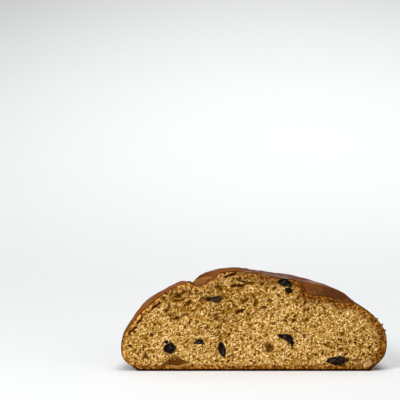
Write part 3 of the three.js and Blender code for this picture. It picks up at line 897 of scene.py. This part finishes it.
def nutFinish():
    c = fruitColours
    f = Finish("nutFinish", IOR=1.46)
    tone = f.blend(f.ramp(f.noise(2.4, 4, 0.6), 0.35, 0.68), c["nutPale"], c["nutTan"])
    normal = f.bump(f.noise(1.0, 4, 0.6), 0.3, 0.7)
    return f.surface(Base_Color=tone, Roughness=f.ramp(f.noise(3, 2), 0.3, 0.7, 0.5, 0.7), Normal=normal)


fruitSkin = {
    "around": 96,             # points round and along a piece of fruit, and a bit of it
    "along": 60,
    "bitAround": 32,
    "bitAlong": 20,
    "foldWidth": 0.28,
    "foldDepth": 0.09,        # as a share of the radius
    "faceRelief": 0.5,        # height of the waves that the knife leaves, how domed that face is, and
    "faceDoming": 0.08,       # how much of the folds stays on it
    "faceFolds": 0.4,
}


def ballDirections(around, along):
    # unit vectors on a grid, from the pole in front (-y) to the pole behind
    polar = np.linspace(0, np.pi, along + 1)[1:-1, None]
    spin = np.linspace(0, 2 * np.pi, around, endpoint=False)[None, :]
    parts = (np.sin(polar) * np.cos(spin), -np.cos(polar), np.sin(polar) * np.sin(spin))
    rings = np.stack(np.broadcast_arrays(*parts), axis=-1)
    return np.concatenate([[[0, -1.0, 0]], rings.reshape(-1, 3), [[0, 1.0, 0]]])


def ballFaces(around, along):
    rings = np.arange((along - 1) * around).reshape(along - 1, around) + 1
    closed = np.concatenate([rings, rings[:, :1]], axis=1)
    last = rings.size + 1
    front = np.stack([np.zeros(around, int), closed[0, :-1], closed[0, 1:]], axis=1)
    back = np.stack([np.full(around, last), closed[-1, 1:], closed[-1, :-1]], axis=1)
    return np.concatenate([gridFaces(closed[::-1]), front, back])


def lumpPoints(size, depth, turn, seed, pointed=0.0, bend=0.0, corners=0.0):
    # A ball pushed in and out by waves, narrowed towards the two ends of its long side, bent,
    # stretched to its size and turned in the plane of the cut face. Folds run where a noise
    # crosses zero.
    direction = ballDirections(fruitSkin["around"], fruitSkin["along"])
    x, y, z = direction.T
    ridges = np.abs(layeredNoise(direction * [1.0, 1.5, 1.5] + seed, 0.55, 2, int(seed * 10)))
    fold = 1 - smoothStep(0.0, fruitSkin["foldWidth"], ridges)
    radius = lumpFactor(x, y, z, seed, corners) - fruitSkin["foldDepth"] * fold * (0.3 + 0.7 * np.abs(y))
    narrow = np.hypot(y, z) ** pointed
    a = x * radius
    b = z * radius * narrow - bend * (a * a - bendMiddle)
    a, b = turned(a * size[0] / 2, b * size[1] / 2, turn)
    return np.stack([a, y * radius * narrow * depth / 2, b], axis=1), fold


def makeCutFruit(fruit, seed, finish):
    points, fold = lumpPoints(fruit["size"], fruit["depth"], fruit["turn"], seed,
                              fruit["pointed"], fruit["bend"], fruit["corners"])
    points = points + [fruit["place"][0], middleBehindFace, fruit["place"][1]]
    # the knife leaves a slightly domed and wavy face
    front = fruitSkin["faceRelief"] * layeredNoise(points, 2.4, 2, int(seed * 7)) - fruit["proud"]
    ahead = front - points[:, 1]
    face = np.maximum(front - fruitSkin["faceDoming"] * ahead, -fruit["proud"] - 0.2)
    points[:, 1] = np.where(ahead > 0, face, points[:, 1])
    fold = fold * np.where(ahead > 0, fruitSkin["faceFolds"], 1.0)
    faces = ballFaces(fruitSkin["around"], fruitSkin["along"])

    around, along = fruitSkin["bitAround"], fruitSkin["bitAlong"]
    for x, z, width, height in fruit["bits"]:
        direction = ballDirections(around, along)
        radius = lumpFactor(*direction.T, seed + x, 0.1)[:, None]
        bit = direction * radius * [width / 2, 0.5 * height, height / 2] + [x, 0.2, z]
        faces = np.concatenate([faces, ballFaces(around, along) + len(points)])
        points = np.concatenate([points, bit])
        fold = np.concatenate([fold, np.zeros(len(bit))])
    piece = makePiece(pieceName(fruit["node"]), points, faces, finish, {"fold": fold})
    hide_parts(fruit["node"])


def makeCrustFruit(fruit, seed, finish):
    # laid on the dome where the loaf is as far out as the fruit's place, flat side along the skin
    x, y = fruit["place"]
    rise = np.linspace(0.3, 1, 400)
    turn = np.full_like(rise, math.atan2(y / loaf["backStretch"], x) / np.pi)
    dome, outwards = domePoint(turn, rise), domeNormal(turn, rise)
    surface = dome + outwards * crustRelief(dome)[0][:, None]
    spot = int(np.argmin(np.abs(np.hypot(surface[:, 0], surface[:, 1]) - math.hypot(x, y))))
    outward = outwards[spot]
    points, fold = lumpPoints(fruit["size"], crustFruitDepth, fruit["turn"], seed)
    # turned by the shortest way so that its front, -y, points outwards
    front = np.array([0, -1.0, 0])
    axis = unit(np.cross(front, outward))
    cosine = float(front @ outward)
    sine = math.sqrt(1 - cosine * cosine)
    points = points * cosine + np.cross(axis, points) * sine + axis * (points @ axis)[:, None] * (1 - cosine)
    points = points + surface[spot] - outward * fruit["sunk"]
    faces = ballFaces(fruitSkin["around"], fruitSkin["along"])
    piece = makePiece(pieceName(fruit["node"]), points, faces, finish, {"fold": fold})
    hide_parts(fruit["node"])


flakes = {
    # end of the cut face (right 0, left 1), rise along its outline, length, breadth, turn
    "places": [
        (0, 0.31, 3.2, 1.5, 50),
        (0, 0.36, 2.2, 1.3, 20),
        (0, 0.27, 2.4, 1.2, -30),
        (1, 0.02, 1.8, 1.2, 10),
        (0, 0.02, 1.8, 1.1, 60),
        (1, 0.40, 1.8, 1.1, 80),
    ],
    "outward": 0.35,        # how far the middle of each stands out
    "around": 14,
    "along": 9,
}
flakeSeed = 60


def makeFlakes(finish):
    # small lumps of crumb and crust, half sunk in the edge of the cut face
    direction = ballDirections(flakes["around"], flakes["along"])
    points, faces = np.empty((0, 3)), np.empty((0, 3), int)
    for number, (end, rise, length, breadth, turn) in enumerate(flakes["places"]):
        spot = np.array(float(end)), np.array(rise)
        middle = domePoint(*spot) + [0, breadth / 2, 0] + domeNormal(*spot) * flakes["outward"]
        a, y, b = (direction * lumpFactor(*direction.T, flakeSeed + number, 0.15)[:, None]).T
        a, b = turned(a * length / 2, b * breadth / 2, turn)
        faces = np.concatenate([faces, ballFaces(flakes["around"], flakes["along"]) + len(points)])
        points = np.concatenate([points, np.stack([a, y * breadth / 2, b], axis=1) + middle])
    piece = makePiece("crustFlakes", points, faces, finish, {})


def flakeFinish():
    c = breadColours
    f = Finish("flakeFinish", Specular_IOR_Level=0.1)
    tone = f.blend(f.ramp(f.noise(1.6, 3), 0.4, 0.6), c["toastedBrown"], c["toasted"])
    normal = f.bump(f.noise(0.7, 3), 0.2, 0.6)
    return f.surface(Base_Color=tone, Roughness=f.ramp(f.noise(1, 2), 0.3, 0.7, 0.7, 0.9), Normal=normal)


view = {
    "eye": (-44.45, -1186.0, 231.0),        # from the middle of the lower edge of the cut face
    "pitchDown": 4.3,
    "lens": 130.6,
}


def makeCamera():
    data = bpy.data.cameras.new("camera")
    data.sensor_width = 36
    data.lens = view["lens"]
    data.clip_start, data.clip_end = 0.05, 30
    camera = bpy.data.objects.new("camera", data)
    bpy.context.scene.collection.objects.link(camera)
    x, y, z = (value * mm for value in view["eye"])
    camera.location = (x, y + cutFaceY, z)
    camera.rotation_euler = (math.radians(90 - view["pitchDown"]), 0, 0)
    bpy.context.scene.camera = camera
    bpy.context.scene.view_settings.view_transform = "Standard"


sweep = {        # metres
    "front": -4.0,
    "back": 0.5,             # where the floor starts to bend up
    "bend": 5.0,             # radius of the bend
    "bendSteps": 24,
    "height": 6.0,
    "halfWidth": 6.0,
    "white": (0.765, 0.778, 0.787, 1),
}


def makeStage():
    # floor that bends up into a backdrop: straight, a quarter round, straight
    bend = np.linspace(0, np.pi / 2, sweep["bendSteps"])
    radius = sweep["bend"]
    line = np.concatenate([
        [[sweep["front"], 0.0]],
        np.stack([sweep["back"] + radius * np.sin(bend), radius - radius * np.cos(bend)], axis=1),
        [[sweep["back"] + radius, sweep["height"]]],
    ])
    sides = np.array([-1, 1]) * sweep["halfWidth"]
    y, z = (np.repeat(line[None, :, k], 2, axis=0) for k in range(2))
    grid = np.stack([np.repeat(sides[:, None], len(line), axis=1), y, z], axis=-1)
    index = np.arange(2 * len(line)).reshape(2, len(line))
    mesh = bpy.data.meshes.new("sweep")
    mesh.from_pydata(grid.reshape(-1, 3).tolist(), [], gridFaces(index)[:, ::-1].tolist())
    mesh.polygons.foreach_set("use_smooth", np.ones(len(mesh.polygons), dtype=bool))
    mesh.materials.append(Finish("sweepFinish", Roughness=0.8).surface(Base_Color=sweep["white"]))
    paper = bpy.data.objects.new("sweep", mesh)
    bpy.context.scene.collection.objects.link(paper)


breadMiddle = (0, 0, 0.03)
lamps = {        # round softboxes: place and size in metres, power in watts, and what each points at
    "keySoftbox": {"place": (-0.85, -1.05, 0.95), "size": 0.7, "power": 16.5, "target": breadMiddle},
    "fillSoftbox": {"place": (1.5, -1.3, 0.9), "size": 1.4, "power": 7, "target": breadMiddle},
    "topSoftbox": {"place": (0.1, -0.35, 2.0), "size": 1.4, "power": 23.5, "target": breadMiddle},
    "backdropSoftbox": {
        "place": (0.2, 1.6, 2.2), "size": 2.0, "power": 13.5, "target": (0.2, 1.8, 0),
        "spread": 92,        # degrees; keeps most of this light off the bread
    },
}
room = {"colour": (1.0, 0.99, 0.97, 1), "strength": 0.2}


def makeLights():
    for name, lamp in lamps.items():
        data = bpy.data.lights.new(name, "AREA")
        data.shape, data.size, data.energy = "DISK", lamp["size"], lamp["power"]
        data.spread = math.radians(lamp.get("spread", 180))
        softbox = bpy.data.objects.new(name, data)
        bpy.context.scene.collection.objects.link(softbox)
        softbox.location = lamp["place"]
        x, y, z = np.subtract(lamp["target"], lamp["place"])
        softbox.rotation_euler = (math.atan2(math.hypot(x, y), -z), 0, math.atan2(-x, y))
    world = bpy.data.worlds.new("softRoom")
    world.use_nodes = True
    glow = world.node_tree.nodes["Background"].inputs
    glow["Color"].default_value = room["colour"]
    glow["Strength"].default_value = room["strength"]
    bpy.context.scene.world = world


makeCamera()
makeStage()
makeLights()
print("stage, light and camera ready")

points, faces, shares = breadMesh()
bread = makePiece("fruitBread", points, faces, breadFinish(), shares)
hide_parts("bread")
print("bread:", len(faces), "triangles")

raisins = raisinFinish("raisinFinish", 0.6, 0.0)
brownRaisins = raisinFinish("brownRaisinFinish", 0.6, 0.6)
finishes = {"nut_low_right": nutFinish(), "raisin_flat_top": brownRaisins, "raisin_low_right": brownRaisins}
first, step = fruitSeeds["cut"]
for number, fruit in enumerate(cutFruit):
    makeCutFruit(fruit, first + step * number, finishes.get(fruit["node"], raisins))
first, step = fruitSeeds["crust"]
for number, fruit in enumerate(crustFruit):
    makeCrustFruit(fruit, first + step * number, raisins)
print("fruit:", len(cutFruit), "in the cut face,", len(crustFruit), "in the crust")
makeFlakes(flakeFinish())
print("flakes:", len(flakes["places"]))
